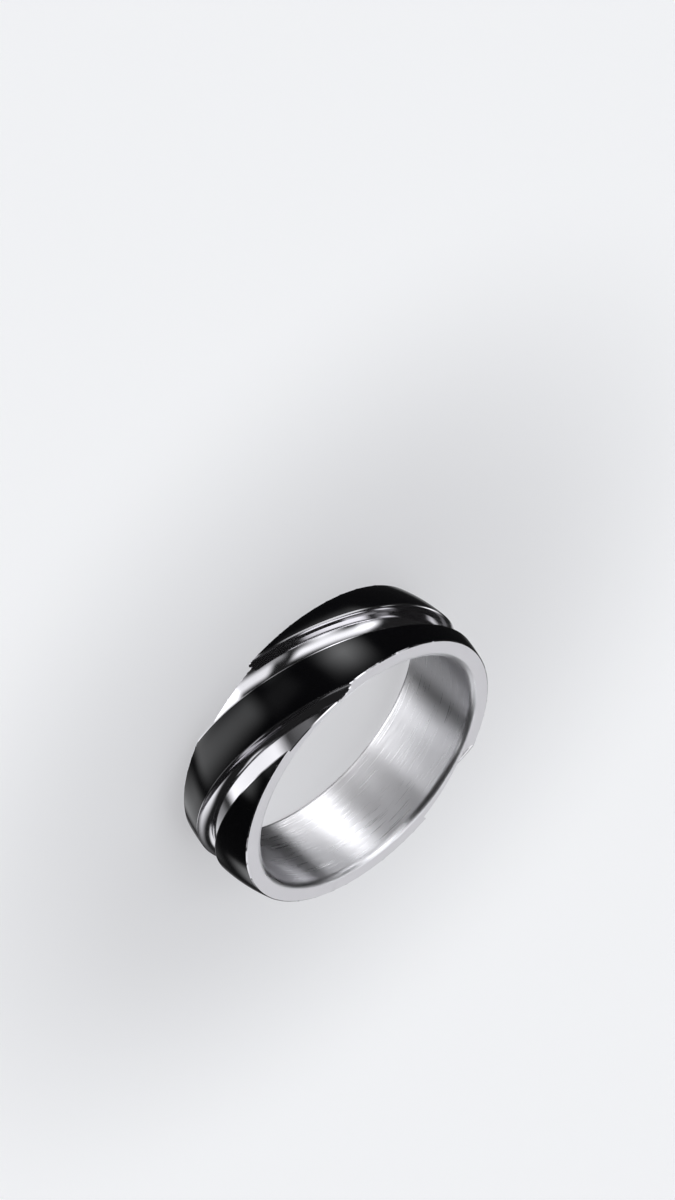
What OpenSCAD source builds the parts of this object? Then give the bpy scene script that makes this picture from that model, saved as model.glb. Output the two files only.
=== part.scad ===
// Two-tone titanium ring. It lies on its bottom face, with the finger hole upright.

/* [Ring] */
// Inside diameter, the finger's size
bore_d = 19; // [17:0.1:21]
// Width along the finger
ring_w = 6.5; // [6.2:0.1:7]
// Thickness of the metal at mid width
wall_t = 1.93; // [1.8:0.01:2.2]
// Rounding of the two inner rims
rim_r = 0.42; // [0.2:0.01:0.5]
// Bevel of the two outer rims
bevel = 0.06; // [0.04:0.01:0.12]

/* [Leaning grooves] */
// Lean of the grooves from the ring's own axis, in degrees
lean = 17.7; // [15:0.1:19]
// Width of the middle black band, between the grooves
middle_w = 3.17; // [2.8:0.01:3.4]
// Width of the groove above the middle band
upper_groove_w = 1.86; // [1.6:0.01:2]
// Width of the groove below the middle band
lower_groove_w = 1.91; // [1.8:0.01:2]

/* [Upper groove] */
// Depth at the foot of the hollow wall
foot_depth = 0.8; // [0.6:0.01:0.9]
// Depth beside the top black band
upper_edge_depth = 0.35; // [0.3:0.01:0.5]
// How far the hollow wall runs out from its top to its foot
wall_run = 0.42; // [0.3:0.01:0.5]

/* [Lower groove] */
// Depth at the foot of the square wall
lower_foot_depth = 0.64; // [0.5:0.01:0.75]
// Depth beside the middle black band
lower_edge_depth = 0.56; // [0.4:0.01:0.65]
// Radius of the hollow floor
floor_r = 5.7; // [4.5:0.1:9]
// How far the bevel on top of the square wall runs out
bevel_run = 0.11; // [0.05:0.01:0.13]
// How far that bevel drops
bevel_drop = 0.34; // [0.1:0.01:0.4]
// Metal left bare between the square wall and the bottom black band
lower_lip = 0.23; // [0.16:0.01:0.28]

/* [Black bands] */
// Thickness of the black layer
black_t = 0.15; // [0.1:0.01:0.2]
// Metal left bare between the black and a flat face
face_lip = 0.08; // [0.06:0.01:0.15]
// Metal left bare between the black and a groove, but for the square wall
groove_lip = 0.06; // [0.05:0.01:0.1]
// Gap around and under the black layer
gap = 0.02; // [0.01:0.005:0.03]

/* [Hidden] */
$fn = 180;
bore_r = bore_d / 2;
// The dome is a zone of a sphere about the ring's centre
dome_r = bore_r + wall_t;
face_r = sqrt(pow(dome_r, 2) - pow(ring_w / 2, 2));
// How far the cutting shapes run past the metal
clear = 1;
out_r = dome_r + clear;
// Heights of the groove walls along the leaning axis, from the ring's centre
upper_wall = middle_w / 2;
upper_edge = upper_wall + upper_groove_w;
lower_edge = -middle_w / 2;
lower_wall = lower_edge - lower_groove_w;
// Heights between which each black layer lies
top_low = upper_edge + groove_lip;
top_high = dome_r;
middle_low = lower_edge + groove_lip;
middle_high = upper_wall - groove_lip;
bottom_low = -dome_r;
bottom_high = lower_wall - lower_lip;

// Radius of the dome, less a depth, at a height along the leaning axis
function dome_at(height, depth = 0) = sqrt(pow(dome_r, 2) - pow(height, 2)) - depth;

// A point moved away from a centre by a factor
function beyond(centre, point, factor) = centre + factor * (point - centre);

// Half section of the ring before the grooves: dome, bore, round rims and bevels
module blank_section() {
    difference() {
        intersection() {
            translate([0, ring_w / 2])
                circle(dome_r);
            translate([bore_r, 0])
                square([dome_r, ring_w]);
        }
        rim_cuts();
        translate([0, ring_w])
            mirror([0, 1])
                rim_cuts();
    }
}

// What comes off the two corners at one flat face
module rim_cuts() {
    difference() {
        translate([bore_r - clear, -clear])
            square(rim_r + clear);
        translate([bore_r + rim_r, rim_r])
            circle(rim_r);
    }
    polygon([
        [face_r - bevel - clear, -clear],
        [face_r + clear, -clear],
        [face_r + clear, bevel + clear]
    ]);
}

// Section of the upper groove: a hollow wall at the bottom, a sloping floor, a shallow side.
// The hollow is an arc that leaves the wall's top square to the leaning axis.
module upper_groove() {
    foot = [dome_at(upper_wall + wall_run, foot_depth), upper_wall + wall_run];
    edge = [dome_at(upper_edge, upper_edge_depth), upper_edge];
    drop = dome_at(upper_wall) - foot[0];
    hollow_r = (pow(drop, 2) + pow(wall_run, 2)) / (2 * wall_run);
    hollow_y = upper_wall + hollow_r;
    intersection() {
        union() {
            translate([dome_at(upper_wall), hollow_y])
                circle(hollow_r);
            translate([0, hollow_y])
                square([out_r, upper_edge - hollow_y]);
        }
        polygon([
            beyond(edge, foot, 2),
            beyond(foot, edge, 2),
            [2 * out_r, upper_edge],
            [2 * out_r, upper_wall - clear]
        ]);
    }
}

// Section of the lower groove: a square wall with a bevelled top, and a floor that is one hollow arc
module lower_groove() {
    foot = [dome_at(lower_wall, lower_foot_depth), lower_wall];
    edge = [dome_at(lower_edge, lower_edge_depth), lower_edge];
    half = norm(edge - foot) / 2;
    outwards = [edge[1] - foot[1], foot[0] - edge[0]] / (2 * half);
    bevel_top = [dome_at(lower_wall - bevel_run), lower_wall - bevel_run];
    bevel_foot = [dome_at(lower_wall, bevel_drop), lower_wall];
    intersection() {
        translate((foot + edge) / 2 + outwards * sqrt(pow(floor_r, 2) - pow(half, 2)))
            circle(floor_r);
        translate([0, lower_wall])
            square([out_r, lower_groove_w]);
    }
    polygon([
        beyond(bevel_top, bevel_foot, 1.5),
        beyond(bevel_foot, bevel_top, 2),
        [2 * out_r, lower_wall - 2 * bevel_run],
        [2 * out_r, lower_wall + bevel_run / 2]
    ]);
}

// Turns a section about the leaning axis through the ring's centre
module turned_leaning() {
    translate([0, 0, ring_w / 2])
        rotate([0, lean, 0])
            rotate_extrude()
                children();
}

// A zone of the dome between two heights on the leaning axis, from an inner to an outer radius
module dome_zone(low, high, inner_r, outer_r, margin) {
    intersection() {
        turned_leaning()
            difference() {
                translate([0, low - margin])
                    square([outer_r, high - low + 2 * margin]);
                circle(inner_r);
                difference() {
                    square(4 * dome_r, center = true);
                    circle(outer_r);
                }
            }
        translate([0, 0, face_lip - margin])
            cylinder(r = 2 * dome_r, h = ring_w - 2 * (face_lip - margin));
    }
}

// The seat that a black layer is let into
module seat(low, high) {
    dome_zone(low, high, dome_r - black_t - gap, out_r, gap);
}

// A black layer, flush with the dome
module black_layer(low, high) {
    dome_zone(low, high, dome_r - black_t, dome_r, 0);
}

// The silver body, in one piece
module ring_band() {
    color([0.78, 0.77, 0.79])
        difference() {
            rotate_extrude()
                blank_section();
            turned_leaning()
                upper_groove();
            turned_leaning()
                lower_groove();
            seat(top_low, top_high);
            seat(middle_low, middle_high);
            seat(bottom_low, bottom_high);
        }
}

// The crescent between the upper groove and the top face
module black_band_top() {
    color([0.05, 0.05, 0.06])
        black_layer(top_low, top_high);
}

// The loop between the two grooves
module black_band_middle() {
    color([0.05, 0.05, 0.06])
        black_layer(middle_low, middle_high);
}

// The crescent between the lower groove and the bottom face
module black_band_bottom() {
    color([0.05, 0.05, 0.06])
        black_layer(bottom_low, bottom_high);
}

ring_band();
black_band_top();
black_band_middle();
black_band_bottom();
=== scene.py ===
import math

import bmesh
import bpy
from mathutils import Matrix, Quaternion, Vector


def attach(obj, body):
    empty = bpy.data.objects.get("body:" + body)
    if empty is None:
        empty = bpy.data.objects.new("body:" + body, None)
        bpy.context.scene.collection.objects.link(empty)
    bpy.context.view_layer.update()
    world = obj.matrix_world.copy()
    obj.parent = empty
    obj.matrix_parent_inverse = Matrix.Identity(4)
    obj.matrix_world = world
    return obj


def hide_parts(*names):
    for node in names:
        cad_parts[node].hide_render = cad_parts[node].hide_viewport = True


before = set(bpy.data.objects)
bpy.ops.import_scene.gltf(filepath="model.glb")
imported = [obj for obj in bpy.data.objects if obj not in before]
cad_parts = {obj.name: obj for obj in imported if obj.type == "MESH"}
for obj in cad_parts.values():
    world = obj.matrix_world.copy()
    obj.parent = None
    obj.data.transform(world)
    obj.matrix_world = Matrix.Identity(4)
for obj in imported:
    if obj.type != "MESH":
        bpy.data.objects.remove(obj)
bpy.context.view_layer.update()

# The metal is modelled in millimetres about the origin and brought to metres at the end
metresPerMm = 0.001

# Sizes that the silver body and the black layers share, in mm and degrees
ring = {
    "width": 6.5,
    "domeR": 11.43,
    "lean": 17.7,
    "middleW": 3.17,        # between the two grooves
    "upperGrooveW": 1.86,
    "lowerGrooveW": 1.91,
    "faceLip": 0.08,        # metal left bare beside a flat face
    "grooveLip": 0.06,      # and beside a groove
    "lowerLip": 0.23,       # and beside the lower groove's square wall
    "blackT": 0.15,
    "gap": 0.02,            # round and under a black layer
    "around": 360,          # steps round the ring
    "domeRings": 120,       # rings of the dome's sphere
    "sharpFrom": 25,        # an edge with a sharper turn than this stays sharp
}
# Heights of the groove walls along the leaning axis
ring["upperWall"] = ring["middleW"] / 2
ring["upperEdge"] = ring["upperWall"] + ring["upperGrooveW"]
ring["lowerEdge"] = -ring["middleW"] / 2
ring["lowerWall"] = ring["lowerEdge"] - ring["lowerGrooveW"]

near = 1e-4           # mm, how close counts as the same height
finer = near / 10     # mm, the same for cuts and for finished pieces
speck = 2e-3          # mm, corners closer than this are merged
offDome = 0.01        # mm, how far a corner may lie under the dome and still be on it
betweenLoops = 10     # mm, a radius between the inner and the outer border of a flat face
slopedNormal = 0.99   # a face with less than this upwards in its normal slopes
flatNormal = 0.9999   # and one with more than this is flat


def domeAt(height, depth=0.0):
    # radius of the dome at a height on the leaning axis
    return math.sqrt(ring["domeR"] ** 2 - height ** 2) - depth


# Small helpers for working by hand

def clearSelection():
    if bpy.context.mode != "OBJECT":
        bpy.ops.object.mode_set(mode="OBJECT")
    bpy.ops.object.select_all(action="DESELECT")


def makeActive(piece):
    clearSelection()
    piece.select_set(True)
    bpy.context.view_layer.objects.active = piece


def startEditing(piece):
    makeActive(piece)
    bpy.ops.object.mode_set(mode="EDIT")


def pick(piece, kind, test):
    # selects the edges or faces that pass the test
    bpy.ops.mesh.select_mode(type=kind)
    bpy.ops.mesh.select_all(action="DESELECT")
    mesh = bmesh.from_edit_mesh(piece.data)
    items = mesh.faces if kind == "FACE" else mesh.edges
    for item in items:
        if test(item):
            item.select_set(True)
    bmesh.update_edit_mesh(piece.data)


def cutPicked(height, clearAbove=False, clearBelow=False):
    # cuts the selected faces by a level plane
    bpy.ops.mesh.bisect(
        plane_co=(0, 0, height), plane_no=(0, 0, 1), threshold=finer,
        clear_outer=clearAbove, clear_inner=clearBelow,
    )


def cutAll(height, clearAbove=False, clearBelow=False):
    bpy.ops.mesh.select_all(action="SELECT")
    cutPicked(height, clearAbove, clearBelow)


def drawThrough(radius, height, stops):
    # extrudes the selected loop from its radius and height through the stops
    for nextRadius, nextHeight in stops:
        bpy.ops.mesh.extrude_edges_move(TRANSFORM_OT_translate={"value": (0, 0, nextHeight - height)})
        growth = nextRadius / radius
        bpy.ops.transform.resize(value=(growth, growth, 1), center_override=(0, 0, 0))
        radius, height = nextRadius, nextHeight


def isLevel(edge, height):
    return all(abs(v.co.z - height) < near for v in edge.verts)


def isOpen(edge, height, beyond=0.0):
    # a border edge at a height, further out than a radius
    return edge.is_boundary and isLevel(edge, height) and edge.verts[0].co.xy.length > beyond


def isFlatBorder(edge):
    # an outer edge of one of the two flat faces, with the piece already in metres
    top, within = ring["width"] * metresPerMm, finer * metresPerMm
    level = all(min(abs(v.co.z), abs(v.co.z - top)) < within for v in edge.verts)
    outer = edge.verts[0].co.xy.length > betweenLoops * metresPerMm
    return level and outer and any(abs(f.normal.z) < slopedNormal for f in edge.link_faces)


def leanOver(piece):
    # turns the piece from the leaning axis to the ring's own frame
    makeActive(piece)
    piece.rotation_euler = (0, math.radians(ring["lean"]), 0)
    piece.location = (0, 0, ring["width"] / 2)
    bpy.ops.object.transform_apply(location=True, rotation=True, scale=True)


def finishPiece(piece, nodeName):
    # closed normals, millimetres to metres, smooth shading between sharp edges
    startEditing(piece)
    bpy.ops.mesh.select_all(action="SELECT")
    bpy.ops.mesh.remove_doubles(threshold=speck)
    bpy.ops.mesh.normals_make_consistent(inside=False)
    makeActive(piece)
    piece.scale = (metresPerMm,) * 3
    bpy.ops.object.transform_apply(location=True, rotation=True, scale=True)
    bpy.ops.object.shade_smooth_by_angle(angle=math.radians(ring["sharpFrom"]))
    startEditing(piece)
    pick(piece, "EDGE", isFlatBorder)
    bpy.ops.mesh.mark_sharp()
    clearSelection()
    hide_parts(nodeName)
    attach(piece, "root")


# The silver body

silver = {
    "boreR": 9.5,
    "rimR": 0.42,            # rounding of the two inner rims
    "bevel": 0.06,           # of the two outer rims
    "footDepth": 0.8,        # upper groove, at the foot of its hollow wall
    "upperEdgeDepth": 0.35,
    "wallRun": 0.42,
    "lowerFootDepth": 0.64,  # lower groove, at the foot of its square wall
    "lowerEdgeDepth": 0.56,
    "floorR": 5.7,
    "bevelRun": 0.11,        # on top of the square wall
    "bevelDrop": 0.34,
    "faceStrip": 0.03,       # flat strip that the bore's rims bring along
    "arcSteps": 14,          # steps along the hollow wall and the hollow floor
    "bevelSteps": 4,
    "rimSteps": 10,
}


def domeSphere(name):
    # the whole dome as a sphere whose poles lie on the leaning axis
    clearSelection()
    bpy.ops.mesh.primitive_uv_sphere_add(
        segments=ring["around"], ring_count=ring["domeRings"], radius=ring["domeR"], location=(0, 0, 0),
    )
    sphere = bpy.context.active_object
    sphere.name = name
    return sphere


def upperStops():
    # radius and height along the upper groove: the hollow wall, then the end of the sloping floor
    wall, edge, run, steps = ring["upperWall"], ring["upperEdge"], silver["wallRun"], silver["arcSteps"]
    drop = domeAt(wall) - domeAt(wall + run, silver["footDepth"])
    hollowR = (drop ** 2 + run ** 2) / (2 * run)
    stops = []
    for step in range(1, steps + 1):
        angle = math.asin(drop / hollowR) * step / steps
        stops.append((domeAt(wall) - hollowR * math.sin(angle), wall + hollowR * (1 - math.cos(angle))))
    stops.append((domeAt(edge, silver["upperEdgeDepth"]), edge))
    return stops


def lowerStops():
    # radius and height along the lower groove: the rounded top of the wall, the wall, the hollow floor
    wall, edge = ring["lowerWall"], ring["lowerEdge"]
    run, floorR = silver["bevelRun"], silver["floorR"]
    top, foot = domeAt(wall - run), domeAt(wall, silver["bevelDrop"])
    stops = []
    for step in range(1, silver["bevelSteps"] + 1):
        turn = math.pi / 2 * step / silver["bevelSteps"]
        stops.append((foot + (top - foot) * math.cos(turn), wall - run * (1 - math.sin(turn))))
    start = Vector((domeAt(wall, silver["lowerFootDepth"]), wall))
    end = Vector((domeAt(edge, silver["lowerEdgeDepth"]), edge))
    half = (end - start).length / 2
    outwards = Vector((end.y - start.y, start.x - end.x)).normalized()
    centre = (start + end) / 2 + outwards * math.sqrt(floorR ** 2 - half ** 2)
    reach = math.asin(half / floorR)
    middle = math.atan2(-outwards.y, -outwards.x)
    for step in range(silver["arcSteps"] + 1):
        angle = middle + reach * (1 - 2 * step / silver["arcSteps"])
        stops.append((centre.x + floorR * math.cos(angle), centre.y + floorR * math.sin(angle)))
    return stops


def turnGroove(piece, low, high, stops):
    # takes out a strip of the dome, draws its lower border in and bridges the shallow side
    pick(piece, "FACE", lambda f: low < f.calc_center_median().z < high)
    bpy.ops.mesh.delete(type="FACE")
    pick(piece, "EDGE", lambda e: isOpen(e, low))
    drawThrough(domeAt(low), low, stops)
    pick(piece, "EDGE", lambda e: e.is_boundary)
    bpy.ops.mesh.bridge_edge_loops()


def turnBore():
    # the bore wall and its two round rims, drawn up from one circle
    rim, width = silver["rimR"], ring["width"]
    flatR = silver["boreR"] + rim
    startR = flatR + silver["faceStrip"]
    clearSelection()
    bpy.ops.mesh.primitive_circle_add(vertices=ring["around"], radius=startR, location=(0, 0, 0))
    bore = bpy.context.active_object
    startEditing(bore)
    bpy.ops.mesh.select_all(action="SELECT")
    stops = [(flatR, 0.0)]
    for step in range(1, silver["rimSteps"] + 1):
        angle = math.pi / 2 * step / silver["rimSteps"]
        stops.append((flatR - rim * math.sin(angle), rim * (1 - math.cos(angle))))
    stops += [(r, width - h) for r, h in reversed(stops)]
    stops.append((startR, width))
    drawThrough(startR, 0.0, stops)
    clearSelection()
    return bore


def sinkSeats(body):
    # lowers the dome where the black layers lie, inside narrow lips
    centre = Vector((0, 0, ring["width"] / 2))
    lean = math.radians(ring["lean"])
    axis = Vector((math.sin(lean), 0, math.cos(lean)))
    limits = [
        (ring["upperEdge"] + ring["grooveLip"], ring["domeR"]),
        (ring["lowerEdge"] + ring["grooveLip"], ring["upperWall"] - ring["grooveLip"]),
        (-ring["domeR"], ring["lowerWall"] - ring["lowerLip"]),
    ]
    seatLow = ring["faceLip"] - ring["gap"]
    seatHigh = ring["width"] - seatLow

    def onDome(face):
        return all((v.co - centre).length > ring["domeR"] - offDome for v in face.verts)

    def underBlack(face):
        middle = face.calc_center_median()
        along = (middle - centre).dot(axis)
        inside = any(low < along < high for low, high in limits)
        return inside and onDome(face) and seatLow < middle.z < seatHigh

    cutAll(silver["bevel"])
    for height in (seatLow, seatHigh):
        pick(body, "FACE", onDome)
        cutPicked(height)
    cutAll(ring["width"] - silver["bevel"])
    pick(body, "FACE", underBlack)
    bpy.ops.mesh.extrude_region_move()
    shrink = (ring["domeR"] - ring["blackT"] - 2 * ring["gap"]) / ring["domeR"]
    bpy.ops.transform.resize(value=(shrink,) * 3, center_override=centre)


def closeFaces(body):
    # draws the outer loops in by the bevel and fills the two flat faces
    faceR = math.sqrt(ring["domeR"] ** 2 - (ring["width"] / 2) ** 2)
    shrink = (faceR - silver["bevel"]) / faceR
    for height in (0.0, ring["width"]):
        pick(body, "EDGE", lambda e: isOpen(e, height, betweenLoops))
        bpy.ops.transform.resize(value=(shrink, shrink, 1), center_override=(0, 0, height))
        pick(body, "EDGE", lambda e: isOpen(e, height))
        bpy.ops.mesh.fill(use_beauty=True)


def buildBody():
    body = domeSphere("ringBand")
    startEditing(body)
    lip, grooveLow = ring["grooveLip"], ring["lowerWall"] - silver["bevelRun"]
    for height in (
        ring["lowerWall"] - ring["lowerLip"], grooveLow, ring["lowerEdge"], ring["lowerEdge"] + lip,
        ring["upperWall"] - lip, ring["upperWall"], ring["upperEdge"], ring["upperEdge"] + lip,
    ):
        cutAll(height)
    turnGroove(body, ring["upperWall"], ring["upperEdge"], upperStops())
    turnGroove(body, grooveLow, ring["lowerEdge"], lowerStops())
    leanOver(body)
    startEditing(body)
    cutAll(0, clearBelow=True)
    cutAll(ring["width"], clearAbove=True)
    sinkSeats(body)
    clearSelection()
    bore = turnBore()
    bore.select_set(True)
    body.select_set(True)
    bpy.context.view_layer.objects.active = body
    bpy.ops.object.join()
    startEditing(body)
    closeFaces(body)
    finishPiece(body, "ring_band")
    return body


# The black layers

grooveSide = ring["grooveLip"] + ring["gap"]
wallSide = ring["lowerLip"] + ring["gap"]

# Each layer's node, and the heights on the leaning axis that it lies between
blackBands = {
    "blackBandTop": ("black_band_top", ring["upperEdge"] + grooveSide, ring["domeR"]),
    "blackBandMiddle": ("black_band_middle", ring["lowerEdge"] + grooveSide, ring["upperWall"] - grooveSide),
    "blackBandBottom": ("black_band_bottom", -ring["domeR"], ring["lowerWall"] - wallSide),
}


def buildBlack(name):
    # a zone of the dome between two heights, thickened inwards
    nodeName, low, high = blackBands[name]
    layer = domeSphere(name)
    startEditing(layer)
    if low > -ring["domeR"]:
        cutAll(low, clearBelow=True)
    if high < ring["domeR"]:
        cutAll(high, clearAbove=True)
    leanOver(layer)
    startEditing(layer)
    cutAll(ring["faceLip"], clearBelow=True)
    cutAll(ring["width"] - ring["faceLip"], clearAbove=True)
    makeActive(layer)
    thicken = layer.modifiers.new("thicken", "SOLIDIFY")
    thicken.thickness = ring["blackT"]
    thicken.offset = -1
    bpy.ops.object.modifier_apply(modifier="thicken")
    finishPiece(layer, nodeName)
    return layer


# Finishes

def newFinish(name):
    finish = bpy.data.materials.new(name)
    finish.use_nodes = True
    tree = finish.node_tree
    return finish, tree, tree.nodes["Principled BSDF"]


def addNode(tree, kind, **settings):
    node = tree.nodes.new(kind)
    for key, value in settings.items():
        setattr(node, key, value)
    return node


def stretchedNoise(tree, scale):
    # noise on the object's own coordinates, drawn out by an uneven scale per metre
    place = addNode(tree, "ShaderNodeTexCoord")
    mapping = addNode(tree, "ShaderNodeMapping")
    mapping.inputs["Scale"].default_value = scale
    noise = addNode(tree, "ShaderNodeTexNoise")
    noise.inputs["Scale"].default_value = 1.0
    noise.inputs["Detail"].default_value = 4.0
    tree.links.new(place.outputs["Object"], mapping.inputs["Vector"])
    tree.links.new(mapping.outputs["Vector"], noise.inputs["Vector"])
    return noise.outputs["Fac"]


def roughen(tree, shader, noise, limits):
    # maps the middle of a noise to the limits of the roughness
    reach = addNode(tree, "ShaderNodeMapRange")
    reach.inputs["From Min"].default_value, reach.inputs["From Max"].default_value = 0.3, 0.7
    reach.inputs["To Min"].default_value, reach.inputs["To Max"].default_value = limits
    tree.links.new(noise, reach.inputs["Value"])
    tree.links.new(reach.outputs["Result"], shader.inputs["Roughness"])


# Each finish has its noise in waves per metre, and the roughness that the noise runs between
titanium = {
    "polishedTitanium": {
        "color": (0.62, 0.61, 0.63, 1),
        "waves": (900, 900, 900),
        "roughness": (0.06, 0.12),
    },
    "satinTitanium": {
        "color": (0.62, 0.61, 0.63, 1),
        "waves": (30000, 30000, 30000),
        "roughness": (0.32, 0.42),
    },
    "brushedBorePaintedLighter": {
        # painted light: a lighter copy of the titanium's colour, which brightens the bore in place of light
        # reaching it
        "color": (0.7, 0.695, 0.715, 1),
        "waves": (300, 300, 14000),
        "roughness": (0.24, 0.42),
        "anisotropy": 0.9,
        "lineDepth": 0.000007,   # metres
    },
}
gloss = {
    "color": (0.002, 0.002, 0.0025, 1),
    "waves": (700, 700, 700),
    "roughness": (0.09, 0.13),
    "ior": 1.42,
}


def brushRound(tree, shader, lines, look):
    # fine lines round the bore, and the highlight that they draw out along it
    shader.inputs["Anisotropic"].default_value = look["anisotropy"]
    axial = addNode(tree, "ShaderNodeCombineXYZ")
    axial.inputs["Z"].default_value = 1.0
    tree.links.new(axial.outputs["Vector"], shader.inputs["Tangent"])
    bump = addNode(tree, "ShaderNodeBump")
    bump.inputs["Strength"].default_value = 1.0
    bump.inputs["Distance"].default_value = look["lineDepth"]
    tree.links.new(lines, bump.inputs["Height"])
    tree.links.new(bump.outputs["Normal"], shader.inputs["Normal"])


def metalFinish(name):
    look = titanium[name]
    finish, tree, shader = newFinish(name)
    shader.inputs["Base Color"].default_value = look["color"]
    shader.inputs["Metallic"].default_value = 1.0
    noise = stretchedNoise(tree, look["waves"])
    roughen(tree, shader, noise, look["roughness"])
    if "lineDepth" in look:
        brushRound(tree, shader, noise, look)
    return finish


def blackFinish():
    finish, tree, shader = newFinish("glossBlack")
    shader.inputs["Base Color"].default_value = gloss["color"]
    shader.inputs["IOR"].default_value = gloss["ior"]
    roughen(tree, shader, stretchedNoise(tree, gloss["waves"]), gloss["roughness"])
    return finish


def paintBody(body):
    # polished all over, but for the satin flat faces and the brushed bore, whose colour is painted lighter
    for name in ("polishedTitanium", "satinTitanium", "brushedBorePaintedLighter"):
        body.data.materials.append(metalFinish(name))
    flatR = (silver["boreR"] + silver["rimR"]) * metresPerMm
    for face in body.data.polygons:
        outside = face.center.xy.length
        if abs(face.normal.z) > flatNormal and outside > flatR:
            face.material_index = 1
        elif outside < flatR:
            face.material_index = 2
        else:
            face.material_index = 0


# The studio

tabletop = {
    "radius": 3,
    "corners": 96,
    "color": (0.35, 0.355, 0.36, 1),
    "roughness": 0.8,
    "specular": 0.1,
    "glow": (0.67, 0.675, 0.69, 1),       # the table's glow far from the ring, where no shade is painted
    "paintedShade": (0.465, 0.465, 0.479, 1),    # painted shade in the table's glow close to the ring
    "paintedShadeReach": (0.012, 0.045),         # metres from the ring's axis over which the painted shade fades out
}
lamps = {
    "floorLight": {"watts": 3.0, "size": (1.2, 1.2), "place": (0.5, 0.6, 1.3), "aim": (0, 0, 0)},
    "boreCard": {
        "watts": 0.0002, "size": (0.008, 0.006),
        "place": (-0.0015, 0.004, -0.004), "aim": (-0.0015, 0.004, 0),
    },
}
surround = {
    "base": 0.02,            # light from where no soft box stands
    "tint": (0.97, 0.98, 1.0, 1),
}

# Soft boxes round the ring: azimuth, elevation, half width, half height, strength, softness, slope,
# with the angles in degrees
softBoxes = {
    "keyLeft": (-147, -18, 10, 10, 4.4, 12, 0),
    "keyLeftLow": (-161, -38, 30, 6, 1.6, 5, -0.25),
    "gap": (-108, -41, 12, 4, 0.5, 6, 0),
    "gapHigh": (-98, -25, 12, 8, 0.2, 6, 0),
    "keyRight": (-42, -40, 38, 9, 1.65, 8, -0.17),
    "under": (-36, -64, 32, 9, 2.4, 8, 0),
    "underLeft": (-87, -56, 23, 8, 1.3, 5, -0.12),
    "underRight": (90, -68, 22, 18, 1.1, 8, 0),
    "boreRight": (32, -37, 22, 6, 1.0, 8, 0),
    "smallRight": (-38, -12, 8, 6, 2.0, 5, 0),
    "smallLow": (-60, -3, 10, 4, 0.6, 4, 0),
    "rightSmall": (45, -12, 12, 7, 1.1, 4, 0),
    "rightDim": (84, -36, 16, 8, 0.5, 8, 0),
    "backLow": (174, -28, 9, 4, 1.0, 4, 0),
    "backDiagonal": (-142, 16, 34, 5, 2.8, 3, -0.25),
    "backMid": (-170, 28, 16, 4, 2.0, 4, 0),
    "backHigh": (-146, 54, 35, 8, 2.6, 6, -0.06),
    "backHighLow": (160, 42, 8, 5, 2.0, 5, 0),
    "sliver": (-28, 27, 6, 8, 1.2, 5, 0),
    "sliverLow": (-42, 15, 12, 4, 1.1, 4, 0),
    "sideBand": (82, 5, 14, 9, 1.3, 5, 0),
    "faceBox": (82, 42, 14, 12, 2.3, 6, 0),
    "behind": (40, 26, 18, 10, 1.3, 10, 0),
    "overhead": (150, 74, 62, 13, 1.8, 6, 0),
}


def buildFloor():
    # a wide pale floor whose glow is darkened round the ring as a painted shade; the metal doesn't mirror it
    clearSelection()
    bpy.ops.mesh.primitive_circle_add(
        vertices=tabletop["corners"], radius=tabletop["radius"], fill_type="NGON", location=(0, 0, 0),
    )
    floor = bpy.context.active_object
    floor.name = "floor"
    finish, tree, shader = newFinish("paleFloorWithPaintedShade")
    shader.inputs["Base Color"].default_value = tabletop["color"]
    shader.inputs["Roughness"].default_value = tabletop["roughness"]
    shader.inputs["Specular IOR Level"].default_value = tabletop["specular"]
    # painted shade: the floor's glow is mixed darker towards the ring's axis, in place of a shadow round the
    # ring
    reach = addNode(tree, "ShaderNodeVectorMath", operation="LENGTH")
    tree.links.new(addNode(tree, "ShaderNodeTexCoord").outputs["Object"], reach.inputs[0])
    fade = addNode(tree, "ShaderNodeMapRange", interpolation_type="SMOOTHSTEP")
    fade.inputs["From Min"].default_value, fade.inputs["From Max"].default_value = tabletop["paintedShadeReach"]
    tree.links.new(reach.outputs["Value"], fade.inputs["Value"])
    glow = addNode(tree, "ShaderNodeMix", data_type="RGBA")
    glow.inputs["A"].default_value = tabletop["paintedShade"]
    glow.inputs["B"].default_value = tabletop["glow"]
    tree.links.new(fade.outputs["Result"], glow.inputs["Factor"])
    tree.links.new(glow.outputs["Result"], shader.inputs["Emission Color"])
    shader.inputs["Emission Strength"].default_value = 1.0
    floor.data.materials.append(finish)
    floor.visible_glossy = False
    floor.visible_shadow = False


def doMath(tree, operation, first, second=None, third=None):
    # one sum on numbers or on the outputs of other nodes
    node = addNode(tree, "ShaderNodeMath", operation=operation)
    for socket, value in zip(node.inputs, (first, second, third)):
        if isinstance(value, (int, float)):
            socket.default_value = value
        elif value is not None:
            tree.links.new(value, socket)
    return node.outputs["Value"]


def softStep(tree, angle, half, softness):
    # 1 inside the half width, 0 outside it, with a soft border
    fade = addNode(tree, "ShaderNodeMapRange", interpolation_type="SMOOTHSTEP")
    fade.inputs["From Min"].default_value = half + softness
    fade.inputs["From Max"].default_value = half - softness
    tree.links.new(doMath(tree, "ABSOLUTE", angle), fade.inputs["Value"])
    return fade.outputs["Result"]


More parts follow.
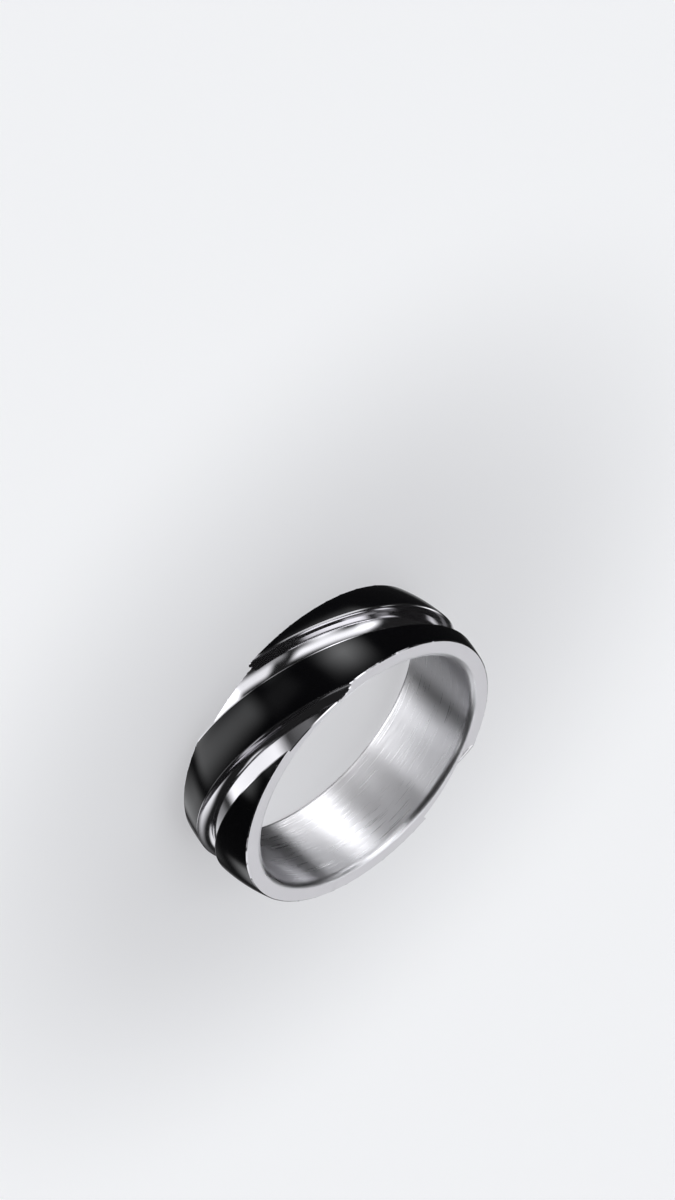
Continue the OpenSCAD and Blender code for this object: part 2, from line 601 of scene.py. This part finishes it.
def buildWorld():
    # the soft boxes as patches of light on the surrounding sphere
    world = bpy.data.worlds.new("studio")
    bpy.context.scene.world = world
    world.use_nodes = True
    tree = world.node_tree
    parts = addNode(tree, "ShaderNodeSeparateXYZ")
    tree.links.new(addNode(tree, "ShaderNodeTexCoord").outputs["Generated"], parts.inputs["Vector"])
    azimuth = doMath(tree, "DEGREES", doMath(tree, "ARCTAN2", parts.outputs["Y"], parts.outputs["X"]))
    elevation = doMath(tree, "DEGREES", doMath(tree, "ARCSINE", parts.outputs["Z"]))
    total = surround["base"]
    for boxAzimuth, boxElevation, halfWidth, halfHeight, strength, softness, slope in softBoxes.values():
        across = doMath(tree, "WRAP", doMath(tree, "SUBTRACT", azimuth, boxAzimuth), 180, -180)
        up = doMath(tree, "SUBTRACT", elevation, doMath(tree, "MULTIPLY_ADD", across, slope, boxElevation))
        inWidth = softStep(tree, across, halfWidth, softness)
        inHeight = softStep(tree, up, halfHeight, softness)
        inside = doMath(tree, "MULTIPLY", inWidth, inHeight)
        total = doMath(tree, "MULTIPLY_ADD", inside, strength, total)
    background = tree.nodes["Background"]
    background.inputs["Color"].default_value = surround["tint"]
    tree.links.new(total, background.inputs["Strength"])


def placeLamp(name, mirrored):
    # a soft lamp that the metal mirrors, or one that lights the floor alone
    sizes = lamps[name]
    data = bpy.data.lights.new(name, "AREA")
    data.shape = "RECTANGLE"
    data.size, data.size_y = sizes["size"]
    data.energy = sizes["watts"]
    lamp = bpy.data.objects.new(name, data)
    bpy.context.scene.collection.objects.link(lamp)
    lamp.location = sizes["place"]
    lamp.rotation_euler = (Vector(sizes["place"]) - Vector(sizes["aim"])).to_track_quat("Z", "Y").to_euler()
    lamp.visible_glossy = mirrored
    lamp.visible_diffuse = not mirrored


# The photograph's angle to the ring, in mm and degrees
view = {
    "aim": (-8.97, -12.5, 3.25),
    "distance": 1349.4,
    "azimuth": -96.914,
    "elevation": 28.255,
    "roll": 131.318,
    "lens": 600,
    "sensor": 36,
    "farthest": 10,   # metres
}


def placeCamera():
    # a long lens, turned about its own line of sight
    azimuth, elevation = math.radians(view["azimuth"]), math.radians(view["elevation"])
    back = Vector((
        math.cos(elevation) * math.cos(azimuth),
        math.cos(elevation) * math.sin(azimuth),
        math.sin(elevation),
    ))
    data = bpy.data.cameras.new("camera")
    data.lens = view["lens"]
    data.sensor_width = view["sensor"]
    data.clip_end = view["farthest"]
    camera = bpy.data.objects.new("camera", data)
    bpy.context.scene.collection.objects.link(camera)
    camera.location = (Vector(view["aim"]) + back * view["distance"]) * metresPerMm
    turn = Quaternion((0, 0, 1), math.radians(view["roll"]))
    camera.rotation_euler = ((-back).to_track_quat("-Z", "Y") @ turn).to_euler()
    bpy.context.scene.camera = camera


ringBand = buildBody()
print("silver body", len(ringBand.data.polygons))
paintBody(ringBand)
layers = [buildBlack(name) for name in blackBands]
glossBlack = blackFinish()
for layer in layers:
    layer.data.materials.append(glossBlack)
print("black layers", [len(layer.data.polygons) for layer in layers])
buildFloor()
buildWorld()
placeLamp("floorLight", mirrored=False)
placeLamp("boreCard", mirrored=True)
placeCamera()
bpy.context.scene.view_settings.view_transform = "Standard"
print("studio")
